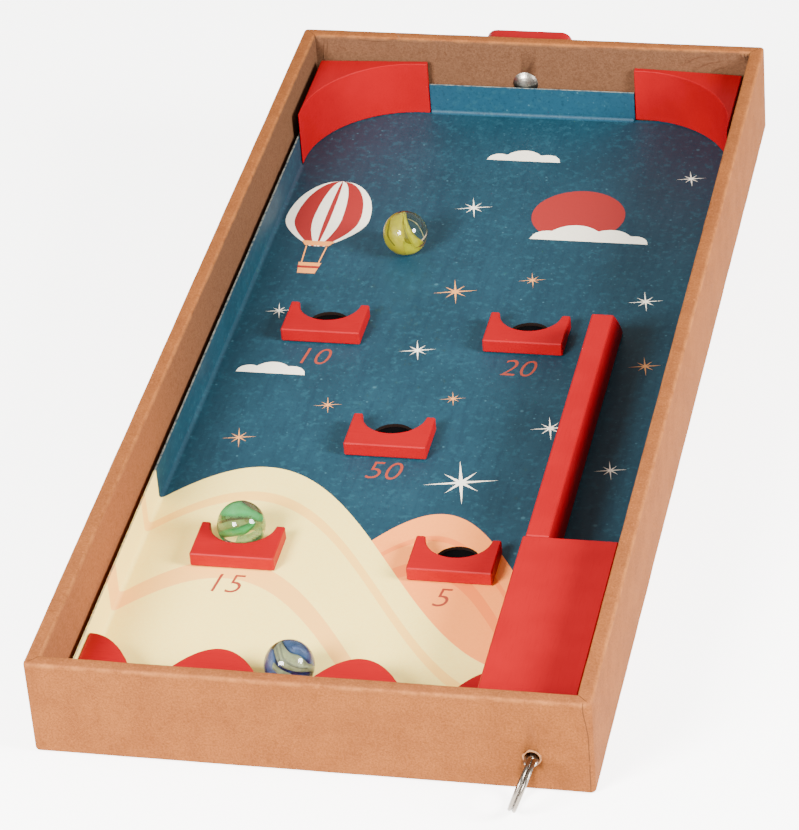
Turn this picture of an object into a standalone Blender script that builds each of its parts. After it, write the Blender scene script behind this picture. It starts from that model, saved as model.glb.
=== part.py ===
"""A table-top marble game: a wrapped board tray that leans on a turning foot.

Metres, +Z up. +X is the player's right and +Y runs up the board, away from the player.
The tray is drawn flat in its own frame, with its front bottom edge on y = 0, z = 0, and is
then tipped back until it stands on that edge and on its foot. The world origin is on the
table, under the middle of the standing game.
"""
import math

import bmesh
import bpy
from mathutils import Matrix, Vector

# Tray: four mitred walls round a floor
CASE_WIDTH = 0.175
CASE_LENGTH = 0.392
CASE_HEIGHT = 0.034
WALL = 0.005
FLOOR = 0.0018
RIM_ROUND = 0.0014

# Fits shared by every piece
SEAT_GAP = 0.0003
OVERRUN = 0.002
EDGE_EASE = 0.0004

# Glass marbles
MARBLE_RADIUS = 0.008
YELLOW_MARBLE_SHARES = (0.328, 0.735)

# Printed board: a black sheet under a card with turned-up flanges
BACKING = 0.0003
BOARD = 0.0013
BOARD_SIDE_GAP = 0.0011
FLANGE = 0.0006
FLANGE_SIDE_GAP = 0.0018
FLANGE_HEIGHT = 0.012
HOLE_DOWNHILL = 0.0028

# Catch blocks: middles as shares of the tray's inside width and length
CATCH_WIDTH = 0.028
CATCH_DEPTH = 0.018
CATCH_THICKNESS = 0.005
CATCH_FRONT_WOOD = 0.0075
NOTCH_RADIUS = 0.011
CATCH_PLACE_SHARES = {
    "catch_10": (0.217, 0.598),
    "catch_20": (0.651, 0.598),
    "catch_50": (0.4395, 0.426),
    "catch_15": (0.217, 0.2525),
    "catch_5": (0.651, 0.2525),
}
GREEN_MARBLE_CATCH = "catch_15"

# Corner deflectors at the top of the board
DEFLECTOR_SIDE = 0.0405
DEFLECTOR_HEIGHT = 0.0211
DEFLECTOR_HOLLOW = 0.0379
DEFLECTOR_TOE = 0.0028
DEFLECTOR_OUTER_LIP = 0.0004
DEFLECTOR_INNER_LIP = 0.0022
DEFLECTOR_SLANT = 0.0024
LEFT_DEFLECTOR_BACK_GAP = 0.0019

# Scalloped bumper along the front wall
BUMPER_HEIGHT = 0.010
BUMPER_VALLEY_DEPTH = 0.0222
BUMPER_CREST_DEPTH = 0.0335
BUMPER_CORNER_CREST_DEPTH = 0.0368
BUMPER_PITCH = 0.0451
BUMPER_CREST_HALF = 0.0138
BUMPER_FIRST_CREST = 0.0008
BUMPER_SECOND_CREST = 0.0433

# Launcher: a bored block and the lane beside the divider
TIMBER = 0.018
LANE_WIDTH = 0.0228
DIVIDER_WIDTH = 0.0075
DIVIDER_LENGTH = 0.1448
NOSE_RUN = 0.0168
NOSE_BULGE = 0.0009
LAUNCHER_LENGTH = 0.0912
LAUNCHER_LEDGE = 0.0008
SHOULDER = 0.016
BORE_RADIUS = 0.006

# Plunger, its spring and its ring
ROD_RADIUS = 0.0009
HEAD_RADIUS = 0.0052
HEAD_LENGTH = 0.020
HEAD_PROUD = 0.004
HEAD_ROUND = 0.0012
HEAD_SOCKET = 0.010
PLUNGER_TRAVEL = 0.028
SPRING_RADIUS = 0.0041
SPRING_WIRE = 0.0003
SPRING_TURNS = 11
SPRING_POINTS = 9
SPRING_SEAT = 0.0006
EYE_RADIUS = 0.0017
EYE_WIRE = 0.0005
EYE_PROUD = 0.0017
PLUNGER_HOLE_RADIUS = 0.0025
RING_RADIUS = 0.009
RING_WIRE = 0.00055
RING_LAYER_GAP = 0.00045
RING_POINTS = 24
RING_END_DEG = 35
RING_LEAN_DEG = 20
RING_TURN_DEG = 4

# Rear foot and its pivot
FOOT_WIDTH = 0.0325
FOOT_LENGTH = 0.066
FOOT_THICKNESS = 0.006
FOOT_TOP_REACH = 0.0155
FOOT_CORNER = 0.004
PIVOT_X = -0.0025
PIVOT_HEIGHT = 0.0166
BOLT_RADIUS = 0.002
BOLT_HEAD_RADIUS = 0.0048
BOLT_DOME = 0.0018
BOLT_TAIL = 0.0008
WASHER_RADIUS = 0.005
WASHER = 0.0008
NUT_RADIUS = 0.004
NUT_HEIGHT = 0.0032

# Smoothness, as counts
TURNED_SIDES = 32
MARBLE_SIDES = 24
ARC_STEPS = 20
SHORT_ARC_STEPS = 5
WIRE_SIDES = 8
EYE_STEPS = 24
NOSE_STEPS = 6

# Places worked out from the sizes above, in the tray's own frame
INSIDE_X = CASE_WIDTH / 2 - WALL
INSIDE_FRONT = WALL
INSIDE_BACK = CASE_LENGTH - WALL
BACKING_TOP = FLOOR + SEAT_GAP + BACKING
BOARD_BOTTOM = BACKING_TOP + SEAT_GAP
PLAY_Z = BOARD_BOTTOM + BOARD
SEAT_Z = PLAY_Z + SEAT_GAP
BOARD_X = INSIDE_X - FLANGE_SIDE_GAP
FLANGE_X = BOARD_X - FLANGE
BOLT_HEAD_Y = INSIDE_BACK - SEAT_GAP
BOARD_BACK = BOLT_HEAD_Y - BOLT_DOME - SEAT_GAP
FLANGE_BACK = BOARD_BACK - FLANGE
BOARD_FRONT = INSIDE_FRONT + BOARD_SIDE_GAP
BACK_FLANGE_X = FLANGE_X - SEAT_GAP - DEFLECTOR_SIDE - SEAT_GAP
DIVIDER_RIGHT = FLANGE_X - LANE_WIDTH
DIVIDER_LEFT = DIVIDER_RIGHT - DIVIDER_WIDTH
LAUNCHER_LEFT = DIVIDER_LEFT - LAUNCHER_LEDGE
LAUNCHER_RIGHT = FLANGE_X - SEAT_GAP
LAUNCHER_FRONT = INSIDE_FRONT + SEAT_GAP
LAUNCHER_BACK = LAUNCHER_FRONT + LAUNCHER_LENGTH
PLUNGER_X = (DIVIDER_RIGHT + FLANGE_X) / 2
PLUNGER_Z = SEAT_Z + MARBLE_RADIUS
ROD_HOLE_RADIUS = ROD_RADIUS + SEAT_GAP
SHOULDER_Y = LAUNCHER_FRONT + SHOULDER
HEAD_FRONT = LAUNCHER_BACK + HEAD_PROUD
HEAD_REAR = HEAD_FRONT - HEAD_LENGTH
EYE = Vector((PLUNGER_X, -EYE_PROUD, PLUNGER_Z))
FOOT_FRONT = CASE_LENGTH + SEAT_GAP + WASHER + SEAT_GAP
FOOT_BACK = FOOT_FRONT + FOOT_THICKNESS
FOOT_END_Z = PIVOT_HEIGHT + FOOT_TOP_REACH - FOOT_LENGTH
PIVOT = Vector((PIVOT_X, CASE_LENGTH, PIVOT_HEIGHT))
BOLT_HOLE_RADIUS = BOLT_RADIUS + SEAT_GAP
TILT = math.atan2(-FOOT_END_Z, FOOT_FRONT)

# Colours, roughness and metal
KRAFT = ((0.62, 0.36, 0.20), 0.85, 0.0)
CARD_BLUE = ((0.05, 0.16, 0.25), 0.45, 0.0)
CARD_BLACK = ((0.01, 0.01, 0.01), 0.8, 0.0)
RED_PAINT = ((0.72, 0.05, 0.035), 0.4, 0.0)
BARE_WOOD = ((0.55, 0.37, 0.2), 0.6, 0.0)
NICKEL = ((0.62, 0.62, 0.6), 0.25, 1.0)
SPRING_STEEL = ((0.4, 0.4, 0.4), 0.35, 1.0)
GLASS_GREEN = ((0.2, 0.55, 0.3), 0.05, 0.0)
GLASS_BLUE = ((0.15, 0.25, 0.6), 0.05, 0.0)
GLASS_YELLOW = ((0.65, 0.62, 0.08), 0.05, 0.0)


def clear_scene():
    for item in list(bpy.data.objects):
        bpy.data.objects.remove(item, do_unlink=True)


def make_material(name, look):
    colour, roughness, metallic = look
    material = bpy.data.materials.new(name)
    material.use_nodes = True
    shader = material.node_tree.nodes["Principled BSDF"]
    shader.inputs["Base Color"].default_value = (*colour, 1.0)
    shader.inputs["Roughness"].default_value = roughness
    shader.inputs["Metallic"].default_value = metallic
    material.diffuse_color = (*colour, 1.0)
    return material


def add_piece(name, shape, look, case, origin=Vector((0, 0, 0))):
    """Turn a bmesh drawn in the tray's frame into a named piece whose origin is at origin."""
    bmesh.ops.translate(shape, verts=shape.verts, vec=-origin)
    bmesh.ops.recalc_face_normals(shape, faces=shape.faces)
    mesh = bpy.data.meshes.new(name)
    shape.to_mesh(mesh)
    shape.free()
    mesh.materials.append(make_material(name, look))
    piece = bpy.data.objects.new(name, mesh)
    bpy.context.collection.objects.link(piece)
    piece.parent = case
    piece.location = origin
    return piece


def smooth_round(piece):
    piece.data.shade_smooth()
    piece.data.set_sharp_from_angle(angle=math.radians(35))


def ease_edges(piece):
    bevel = piece.modifiers.new("eased_edges", "BEVEL")
    bevel.width = EDGE_EASE
    bevel.segments = 1
    bevel.limit_method = "ANGLE"
    bevel.angle_limit = math.radians(40)


def cut(piece, shape, name):
    """Cut the bmesh shape, drawn in the tray's frame, out of a piece at the tray's origin."""
    bmesh.ops.recalc_face_normals(shape, faces=shape.faces)
    mesh = bpy.data.meshes.new(name)
    shape.to_mesh(mesh)
    shape.free()
    cutter = bpy.data.objects.new(name, mesh)
    bpy.context.collection.objects.link(cutter)
    cutter.parent = piece.parent
    cutter.hide_render = True
    cutter.display_type = "WIRE"
    boolean = piece.modifiers.new(name, "BOOLEAN")
    boolean.operation = "DIFFERENCE"
    boolean.solver = "EXACT"
    boolean.object = cutter


def block(low, high):
    shape = bmesh.new()
    size = Vector(high) - Vector(low)
    middle = (Vector(high) + Vector(low)) / 2
    place = Matrix.Translation(middle) @ Matrix.Diagonal((*size, 1))
    bmesh.ops.create_cube(shape, size=1, matrix=place)
    return shape


def prism(outline, low, high):
    """Raise a closed outline of (x, y) points from z = low to z = high."""
    shape = bmesh.new()
    bottom = [shape.verts.new((x, y, low)) for x, y in outline]
    top = [shape.verts.new((x, y, high)) for x, y in outline]
    shape.faces.new(list(reversed(bottom)))
    shape.faces.new(top)
    count = len(outline)
    for index in range(count):
        after = (index + 1) % count
        shape.faces.new((bottom[index], bottom[after], top[after], top[index]))
    return shape


def turned(profile, centre):
    """Turn (radius, y) points round the line through centre that runs along Y."""
    shape = bmesh.new()
    rings = []
    for radius, along in profile:
        if radius == 0:
            rings.append([shape.verts.new((centre.x, along, centre.z))])
            continue
        ring = []
        for side in range(TURNED_SIDES):
            angle = math.tau * side / TURNED_SIDES
            x = centre.x + radius * math.cos(angle)
            z = centre.z + radius * math.sin(angle)
            ring.append(shape.verts.new((x, along, z)))
        rings.append(ring)
    pairs = list(zip(rings, rings[1:]))
    if profile[0][0] != 0:
        pairs.append((rings[-1], rings[0]))
    for near, far in pairs:
        for side in range(TURNED_SIDES):
            after = (side + 1) % TURNED_SIDES
            corners = [near[side % len(near)], near[after % len(near)]]
            corners += [far[after % len(far)], far[side % len(far)]]
            shape.faces.new(list(dict.fromkeys(corners)))
    return shape


def arc_points(centre, radius, start_deg, end_deg, steps):
    points = []
    for step in range(steps + 1):
        angle = math.radians(start_deg + (end_deg - start_deg) * step / steps)
        x = centre[0] + radius * math.cos(angle)
        y = centre[1] + radius * math.sin(angle)
        points.append((x, y))
    return points


def wire_piece(name, points, radius, look, case, origin):
    """Sweep a round wire along points, drawn in the tray's frame, with closed ends."""
    curve = bpy.data.curves.new(name, "CURVE")
    curve.dimensions = "3D"
    curve.bevel_depth = radius
    curve.bevel_resolution = 1
    curve.use_fill_caps = True
    spline = curve.splines.new("POLY")
    spline.points.add(len(points) - 1)
    for slot, point in zip(spline.points, points):
        slot.co = (*(point - origin), 1)
    curve.materials.append(make_material(name, look))
    piece = bpy.data.objects.new(name, curve)
    bpy.context.collection.objects.link(piece)
    piece.parent = case
    piece.location = origin
    return piece


def print_least_gap(name, points, wire, skip):
    """Print how near a wound wire comes to itself, leaving out its close neighbours."""
    least = min(
        (points[one] - points[two]).length
        for one in range(len(points))
        for two in range(one + skip, len(points))
    )
    print(f"{name}: least gap to itself {(least - 2 * wire) * 1000:.2f} mm")


def wall_profile():
    """The wall's cut face as (distance in from the outer face, height), rim rounded."""
    low_corner = [(0, 0), (WALL, 0)]
    inner = arc_points((WALL - RIM_ROUND, CASE_HEIGHT - RIM_ROUND), RIM_ROUND, 0, 90, SHORT_ARC_STEPS)
    outer = arc_points((RIM_ROUND, CASE_HEIGHT - RIM_ROUND), RIM_ROUND, 90, 180, SHORT_ARC_STEPS)
    return low_corner + inner + outer


def mitred_wall(length, place):
    """A wall of the given outer length along local x, its outer face on y = 0."""
    shape = bmesh.new()
    mitre_gap = SEAT_GAP / 2 * math.sqrt(2)
    ends = []
    for side in (-1, 1):
        end = [
            shape.verts.new((side * (length / 2 - inward - mitre_gap), inward, height))
            for inward, height in wall_profile()
        ]
        ends.append(end)
    left, right = ends
    shape.faces.new(left)
    shape.faces.new(list(reversed(right)))
    count = len(left)
    for index in range(count):
        after = (index + 1) % count
        shape.faces.new((left[after], left[index], right[index], right[after]))
    bmesh.ops.transform(shape, matrix=place, verts=shape.verts)
    return shape


def build_case(case):
    """Floor and walls, with the plunger's hole in front and the bolt's hole behind."""
    edge = INSIDE_X - SEAT_GAP
    floor = block((-edge, INSIDE_FRONT + SEAT_GAP, 0), (edge, INSIDE_BACK - SEAT_GAP, FLOOR))
    add_piece("tray_floor", floor, KRAFT, case)

    front = add_piece("front_wall", mitred_wall(CASE_WIDTH, Matrix()), KRAFT, case)
    hole_ends = ((PLUNGER_HOLE_RADIUS, -OVERRUN), (PLUNGER_HOLE_RADIUS, INSIDE_FRONT + OVERRUN))
    hole = turned(((0, -OVERRUN), *hole_ends, (0, INSIDE_FRONT + OVERRUN)), EYE)
    cut(front, hole, "plunger_hole_cutter")

    back_place = Matrix.Translation((0, CASE_LENGTH, 0)) @ Matrix.Rotation(math.pi, 4, "Z")
    back = add_piece("back_wall", mitred_wall(CASE_WIDTH, back_place), KRAFT, case)
    hole_low = INSIDE_BACK - OVERRUN
    hole_high = CASE_LENGTH + OVERRUN
    hole_ends = ((BOLT_HOLE_RADIUS, hole_low), (BOLT_HOLE_RADIUS, hole_high))
    cut(back, turned(((0, hole_low), *hole_ends, (0, hole_high)), PIVOT), "bolt_hole_cutter")

    for name, side in (("left_wall", -1), ("right_wall", 1)):
        turn = Matrix.Rotation(side * math.pi / 2, 4, "Z")
        place = Matrix.Translation((side * CASE_WIDTH / 2, CASE_LENGTH / 2, 0)) @ turn
        add_piece(name, mitred_wall(CASE_LENGTH, place), KRAFT, case)


def catch_corner(name):
    """The middle of a catch block's front bottom edge."""
    across_share, along_share = CATCH_PLACE_SHARES[name]
    x = -INSIDE_X + 2 * INSIDE_X * across_share
    y = INSIDE_FRONT + (INSIDE_BACK - INSIDE_FRONT) * along_share - CATCH_DEPTH / 2
    return x, y


def seated_marble(name):
    """Where a marble comes to rest: on the black sheet, against the catch block's notch."""
    x, front = catch_corner(name)
    z = BACKING_TOP + SEAT_GAP + MARBLE_RADIUS
    above_edge = z - (SEAT_Z + CATCH_THICKNESS)
    reach = math.sqrt((MARBLE_RADIUS + SEAT_GAP) ** 2 - above_edge ** 2)
    return Vector((x, front + CATCH_FRONT_WOOD + reach, z))


def seat_hole(name):
    """The hole punched behind a catch block: its middle and radius."""
    marble = seated_marble(name)
    rise = marble.z - PLAY_Z
    marble_at_board = math.sqrt(MARBLE_RADIUS ** 2 - rise ** 2)
    radius = marble_at_board + HOLE_DOWNHILL + SEAT_GAP
    return Vector((marble.x, marble.y - HOLE_DOWNHILL, 0)), radius


def build_printed_board(case):
    """The black sheet, and the card tray with its three flanges and five holes."""
    low = (-FLANGE_X, BOARD_FRONT, FLOOR + SEAT_GAP)
    high = (FLANGE_X, FLANGE_BACK, BACKING_TOP)
    add_piece("backing_sheet", block(low, high), CARD_BLACK, case)

    low = (-BOARD_X, BOARD_FRONT, BOARD_BOTTOM)
    high = (BOARD_X, BOARD_BACK, PLAY_Z + FLANGE_HEIGHT)
    board = add_piece("printed_board", block(low, high), CARD_BLUE, case)
    low = (-FLANGE_X, BOARD_FRONT - OVERRUN, PLAY_Z)
    high = (FLANGE_X, FLANGE_BACK, PLAY_Z + FLANGE_HEIGHT + OVERRUN)
    cut(board, block(low, high), "board_inside_cutter")
    for name, side in (("left", -1), ("right", 1)):
        ends = sorted((side * (BOARD_X + OVERRUN), side * BACK_FLANGE_X))
        low = (ends[0], FLANGE_BACK - OVERRUN, PLAY_Z)
        high = (ends[1], BOARD_BACK + OVERRUN, PLAY_Z + FLANGE_HEIGHT + OVERRUN)
        cut(board, block(low, high), name + "_corner_cutter")
    for name in CATCH_PLACE_SHARES:
        middle, radius = seat_hole(name)
        outline = arc_points(middle, radius, 0, 360, TURNED_SIDES)[:-1]
        hole = prism(outline, BOARD_BOTTOM - OVERRUN, PLAY_Z + OVERRUN)
        cut(board, hole, name + "_hole_cutter")


def build_catches(case):
    """Five flat blocks, each with a round notch in its uphill edge."""
    half = CATCH_WIDTH / 2
    for name in CATCH_PLACE_SHARES:
        x, front = catch_corner(name)
        back = front + CATCH_DEPTH
        notch_y = front + CATCH_FRONT_WOOD + NOTCH_RADIUS
        edge = math.degrees(math.asin(min(1, max(-1, (back - notch_y) / NOTCH_RADIUS))))
        notch = arc_points((x, notch_y), NOTCH_RADIUS, edge, -180 - edge, ARC_STEPS)
        outline = [(x - half, front), (x + half, front), (x + half, back), *notch, (x - half, back)]
        piece = add_piece(name, prism(outline, SEAT_Z, SEAT_Z + CATCH_THICKNESS), RED_PAINT, case)
        ease_edges(piece)


def build_deflectors(case):
    """Two corner blocks, each hollowed by a quarter round that faces the board."""
    places = (
        ("left_deflector", -1, INSIDE_BACK - LEFT_DEFLECTOR_BACK_GAP),
        ("right_deflector", 1, INSIDE_BACK - SEAT_GAP),
    )
    for name, side, back in places:
        outer = side * (FLANGE_X - SEAT_GAP)
        inner = outer - side * DEFLECTOR_SIDE
        middle_x = outer - side * (DEFLECTOR_OUTER_LIP + DEFLECTOR_HOLLOW)
        middle_y = back - DEFLECTOR_INNER_LIP - DEFLECTOR_HOLLOW
        end = math.degrees(math.acos((middle_x - inner) * side / DEFLECTOR_HOLLOW * -1))
        hollow = [
            (middle_x + side * x, y)
            for x, y in arc_points((0, middle_y), DEFLECTOR_HOLLOW, 0, end, ARC_STEPS)
        ]
        toe = middle_y - DEFLECTOR_TOE
        corner = (outer, back - DEFLECTOR_SLANT)
        outline = [(hollow[0][0], toe), *hollow, (inner, back), corner, (outer, toe)]
        piece = add_piece(name, prism(outline, SEAT_Z, SEAT_Z + DEFLECTOR_HEIGHT), RED_PAINT, case)
        ease_edges(piece)


def bumper_crests():
    """Each crest as (x, how far it reaches from the bumper's front), from the left flange."""
    left = -FLANGE_X + SEAT_GAP
    crests = [(left + BUMPER_FIRST_CREST, BUMPER_CORNER_CREST_DEPTH)]
    count = math.ceil((LAUNCHER_LEFT - left - BUMPER_SECOND_CREST) / BUMPER_PITCH) + 1
    for index in range(count):
        crests.append((left + BUMPER_SECOND_CREST + BUMPER_PITCH * index, BUMPER_CREST_DEPTH))
    return crests


def bumper_edge(x):
    """How far the bumper's uphill edge lies from its front at x: a low arch at each crest."""
    fall = (BUMPER_CREST_DEPTH - BUMPER_VALLEY_DEPTH) / BUMPER_CREST_HALF ** 2
    arches = [depth - fall * (x - crest) ** 2 for crest, depth in bumper_crests()]
    return max(BUMPER_VALLEY_DEPTH, *arches)


def build_bumper(case):
    """One strip whose uphill edge is a row of low arches with flat valleys."""
    left = -FLANGE_X + SEAT_GAP
    right = LAUNCHER_LEFT - SEAT_GAP
    front = INSIDE_FRONT + SEAT_GAP
    fall = (BUMPER_CREST_DEPTH - BUMPER_VALLEY_DEPTH) / BUMPER_CREST_HALF ** 2
    stations = [left, right]
    for crest, depth in bumper_crests():
        half_arch = math.sqrt((depth - BUMPER_VALLEY_DEPTH) / fall)
        for step in range(-ARC_STEPS // 2, ARC_STEPS // 2 + 1):
            x = crest + half_arch * step * 2 / ARC_STEPS
            if left + EDGE_EASE < x < right - EDGE_EASE:
                stations.append(x)
    edge = [(x, front + bumper_edge(x)) for x in sorted(stations, reverse=True)]
    outline = [(left, front), (right, front), *edge]
    piece = add_piece("front_bumper", prism(outline, SEAT_Z, SEAT_Z + BUMPER_HEIGHT), RED_PAINT, case)
    ease_edges(piece)


def build_divider(case):
    """The lane's wall, cut from the launcher's timber, with a nose that slopes to the board."""
    front = LAUNCHER_BACK + SEAT_GAP
    back = front + DIVIDER_LENGTH
    slope = Vector((-NOSE_RUN, TIMBER))
    outward = Vector((slope.y, -slope.x)).normalized()
    nose = []
    for step in range(NOSE_STEPS + 1):
        along = step / NOSE_STEPS
        bulge = NOSE_BULGE * math.sin(math.pi * along)
        nose.append(Vector((back, SEAT_Z)) + slope * along + outward * bulge)
    side = [(front, SEAT_Z), *[tuple(point) for point in nose], (front, SEAT_Z + TIMBER)]
    shape = prism(side, DIVIDER_LEFT, DIVIDER_RIGHT)
    turn = Matrix(((0, 0, 1, 0), (1, 0, 0, 0), (0, 1, 0, 0), (0, 0, 0, 1)))
    bmesh.ops.transform(shape, matrix=turn, verts=shape.verts)
    piece = add_piece("lane_divider", shape, RED_PAINT, case)
    ease_edges(piece)


def build_launcher(case):
    """The block that the plunger runs in: a wide bore up to a shoulder, then a rod hole."""
    low = (LAUNCHER_LEFT, LAUNCHER_FRONT, SEAT_Z)
    high = (LAUNCHER_RIGHT, LAUNCHER_BACK, SEAT_Z + TIMBER)
    piece = add_piece("launcher_block", block(low, high), RED_PAINT, case)
    ease_edges(piece)
    start = LAUNCHER_FRONT - OVERRUN
    end = LAUNCHER_BACK + OVERRUN
    profile = (
        (0, start),
        (ROD_HOLE_RADIUS, start),
        (ROD_HOLE_RADIUS, SHOULDER_Y),
        (BORE_RADIUS, SHOULDER_Y),
        (BORE_RADIUS, end),
        (0, end),
    )
    cut(piece, turned(profile, EYE), "bore_cutter")


def ring_of_wire(centre, radius, wire):
    """A closed wire ring that lies flat round centre."""
    shape = bmesh.new()
    loops = []
    for step in range(EYE_STEPS):
        turn = math.tau * step / EYE_STEPS
        loop = []
        for side in range(WIRE_SIDES):
            angle = math.tau * side / WIRE_SIDES
            reach = radius + wire * math.cos(angle)
            offset = Vector((reach * math.cos(turn), reach * math.sin(turn), wire * math.sin(angle)))
            loop.append(shape.verts.new(centre + offset))
        loops.append(loop)
    for step in range(EYE_STEPS):
        near = loops[step]
        far = loops[(step + 1) % EYE_STEPS]
        for side in range(WIRE_SIDES):
            after = (side + 1) % WIRE_SIDES
            shape.faces.new((near[side], far[side], far[after], near[after]))
    return shape


def build_plunger(case):
    """The rod with its eye, the wooden head, the spring seat and the return spring."""
    rod_end = HEAD_REAR + HEAD_SOCKET - SEAT_GAP
    rod_start = EYE.y + EYE_RADIUS
    profile = ((0, rod_start), (ROD_RADIUS, rod_start), (ROD_RADIUS, rod_end), (0, rod_end))
    rod = add_piece("plunger_rod", turned(profile, EYE), NICKEL, case, EYE)
    smooth_round(rod)
    eye = add_piece("eye_shape", ring_of_wire(EYE, EYE_RADIUS, EYE_WIRE), NICKEL, case, EYE)
    eye.hide_render = True
    eye.display_type = "WIRE"
    join = rod.modifiers.new("eye", "BOOLEAN")
    join.operation = "UNION"
    join.solver = "EXACT"
    join.object = eye

    socket_radius = ROD_RADIUS + SEAT_GAP
    profile = (
        (0, HEAD_REAR + HEAD_SOCKET),
        (socket_radius, HEAD_REAR + HEAD_SOCKET),
        (socket_radius, HEAD_REAR),
        (HEAD_RADIUS, HEAD_REAR),
        (HEAD_RADIUS, HEAD_FRONT - HEAD_ROUND),
        (HEAD_RADIUS - HEAD_ROUND, HEAD_FRONT),
        (0, HEAD_FRONT),
    )
    head = add_piece("plunger_head", turned(profile, EYE), BARE_WOOD, case, EYE)
    smooth_round(head)

    seat_back = SHOULDER_Y + SEAT_GAP
    seat_front = seat_back + SPRING_SEAT
    outer = SPRING_RADIUS + SPRING_WIRE
    profile = (
        (ROD_HOLE_RADIUS, seat_back),
        (outer, seat_back),
        (outer, seat_front),
        (ROD_HOLE_RADIUS, seat_front),
    )
    seat = add_piece("spring_washer", turned(profile, EYE), NICKEL, case)
    smooth_round(seat)

    start = seat_front + SEAT_GAP + SPRING_WIRE
    end = HEAD_REAR - SEAT_GAP - SPRING_WIRE
    count = SPRING_TURNS * SPRING_POINTS
    points = []
    for step in range(count + 1):
        angle = math.tau * step / SPRING_POINTS
        x = EYE.x + SPRING_RADIUS * math.cos(angle)
        z = EYE.z + SPRING_RADIUS * math.sin(angle)
        points.append(Vector((x, start + (end - start) * step / count, z)))
    wire_piece("return_spring", points, SPRING_WIRE, SPRING_STEEL, case, Vector((0, 0, 0)))
    print_least_gap("return_spring", points, SPRING_WIRE, SPRING_POINTS - 1)


def ring_frame():
    """The pull ring's middle and two axes in its plane, with its low edge on the table."""
    lean = math.radians(RING_LEAN_DEG)
    turn = math.radians(RING_TURN_DEG)
    normal = Vector((-math.cos(lean) * math.cos(turn), math.cos(lean) * math.sin(turn), math.sin(lean)))
    up = Vector((0, math.sin(TILT), math.cos(TILT)))
    drop = math.sqrt(1 - normal.dot(up) ** 2)
    down = (normal * normal.dot(up) - up) / drop
    outward = normal.cross(down)
    if outward.y > 0:
        outward = -outward
    height = EYE.dot(up) - RING_WIRE - SEAT_GAP
    swing = math.acos(height / (RING_RADIUS * drop) - 1)
    towards = down * math.cos(swing) + outward * math.sin(swing)
    return EYE + towards * RING_RADIUS, -towards, normal.cross(towards), normal


def build_ring(case):
    """A split ring of two turns that cross over where they pass through the eye."""
    middle, to_eye, along, normal = ring_frame()
    layer = RING_WIRE + RING_LAYER_GAP / 2
    total = 720 - 2 * RING_END_DEG
    count = math.ceil(RING_POINTS * total / 360)
    points = []
    for step in range(count + 1):
        degrees = RING_END_DEG + total * step / count
        blend = min(1, max(0, (degrees - 360 + RING_END_DEG) / (2 * RING_END_DEG)))
        side = -layer * math.cos(math.pi * blend)
        angle = math.radians(degrees)
        flat = to_eye * math.cos(angle) + along * math.sin(angle)
        points.append(middle + flat * RING_RADIUS + normal * side)
    wire_piece("pull_ring", points, RING_WIRE, NICKEL, case, EYE)
    print_least_gap("pull_ring", points, RING_WIRE, RING_POINTS // 2)


def build_foot(case):
    """The turning foot with the bolt, washers and nut that hold it to the back wall."""
    left = PIVOT_X - FOOT_WIDTH / 2 + FOOT_CORNER
    right = PIVOT_X + FOOT_WIDTH / 2 - FOOT_CORNER
    low = FOOT_END_Z + FOOT_CORNER
    high = PIVOT_HEIGHT + FOOT_TOP_REACH - FOOT_CORNER
    corners = ((right, low, -90), (right, high, 0), (left, high, 90), (left, low, 180))
    outline = []
    for x, z, start in corners:
        outline += arc_points((x, z), FOOT_CORNER, start, start + 90, SHORT_ARC_STEPS)
    stand = Matrix.Rotation(math.pi / 2, 4, "X")
    shape = prism(outline, -FOOT_BACK, -FOOT_FRONT)
    bmesh.ops.transform(shape, matrix=stand, verts=shape.verts)
    foot = add_piece("rear_foot", shape, RED_PAINT, case, PIVOT)
    hole_low = FOOT_FRONT - OVERRUN
    hole_high = FOOT_BACK + OVERRUN
    hole_ends = ((BOLT_HOLE_RADIUS, hole_low), (BOLT_HOLE_RADIUS, hole_high))
    cut(foot, turned(((0, hole_low), *hole_ends, (0, hole_high)), PIVOT), "foot_hole_cutter")

    outer_washer = FOOT_BACK + SEAT_GAP
    nut_start = outer_washer + WASHER + SEAT_GAP
    bolt_end = nut_start + NUT_HEIGHT + BOLT_TAIL
    for name, start in (("inner_washer", CASE_LENGTH + SEAT_GAP), ("outer_washer", outer_washer)):
        profile = (
            (BOLT_HOLE_RADIUS, start),
            (WASHER_RADIUS, start),
            (WASHER_RADIUS, start + WASHER),
            (BOLT_HOLE_RADIUS, start + WASHER),
        )
        smooth_round(add_piece(name, turned(profile, PIVOT), NICKEL, case))

    dome_radius = (BOLT_HEAD_RADIUS ** 2 + BOLT_DOME ** 2) / (2 * BOLT_DOME)
    dome_edge = math.asin(BOLT_HEAD_RADIUS / dome_radius)
    profile = []
    for step in range(SHORT_ARC_STEPS + 1):
        angle = dome_edge * step / SHORT_ARC_STEPS
        sink = dome_radius * (1 - math.cos(angle))
        profile.append((dome_radius * math.sin(angle), BOLT_HEAD_Y - BOLT_DOME + sink))
    profile += [(BOLT_RADIUS, BOLT_HEAD_Y), (BOLT_RADIUS, bolt_end), (0, bolt_end)]
    smooth_round(add_piece("pivot_bolt", turned(profile, PIVOT), NICKEL, case))

    flats = arc_points((PIVOT_X, PIVOT_HEIGHT), NUT_RADIUS, 0, 360, 6)[:-1]
    shape = prism(flats, -(nut_start + NUT_HEIGHT), -nut_start)
    bmesh.ops.transform(shape, matrix=stand, verts=shape.verts)
    nut = add_piece("pivot_nut", shape, NICKEL, case)
    hole_low = nut_start - OVERRUN
    hole_high = nut_start + NUT_HEIGHT + OVERRUN
    hole_ends = ((BOLT_HOLE_RADIUS, hole_low), (BOLT_HOLE_RADIUS, hole_high))
    cut(nut, turned(((0, hole_low), *hole_ends, (0, hole_high)), PIVOT), "nut_hole_cutter")


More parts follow.
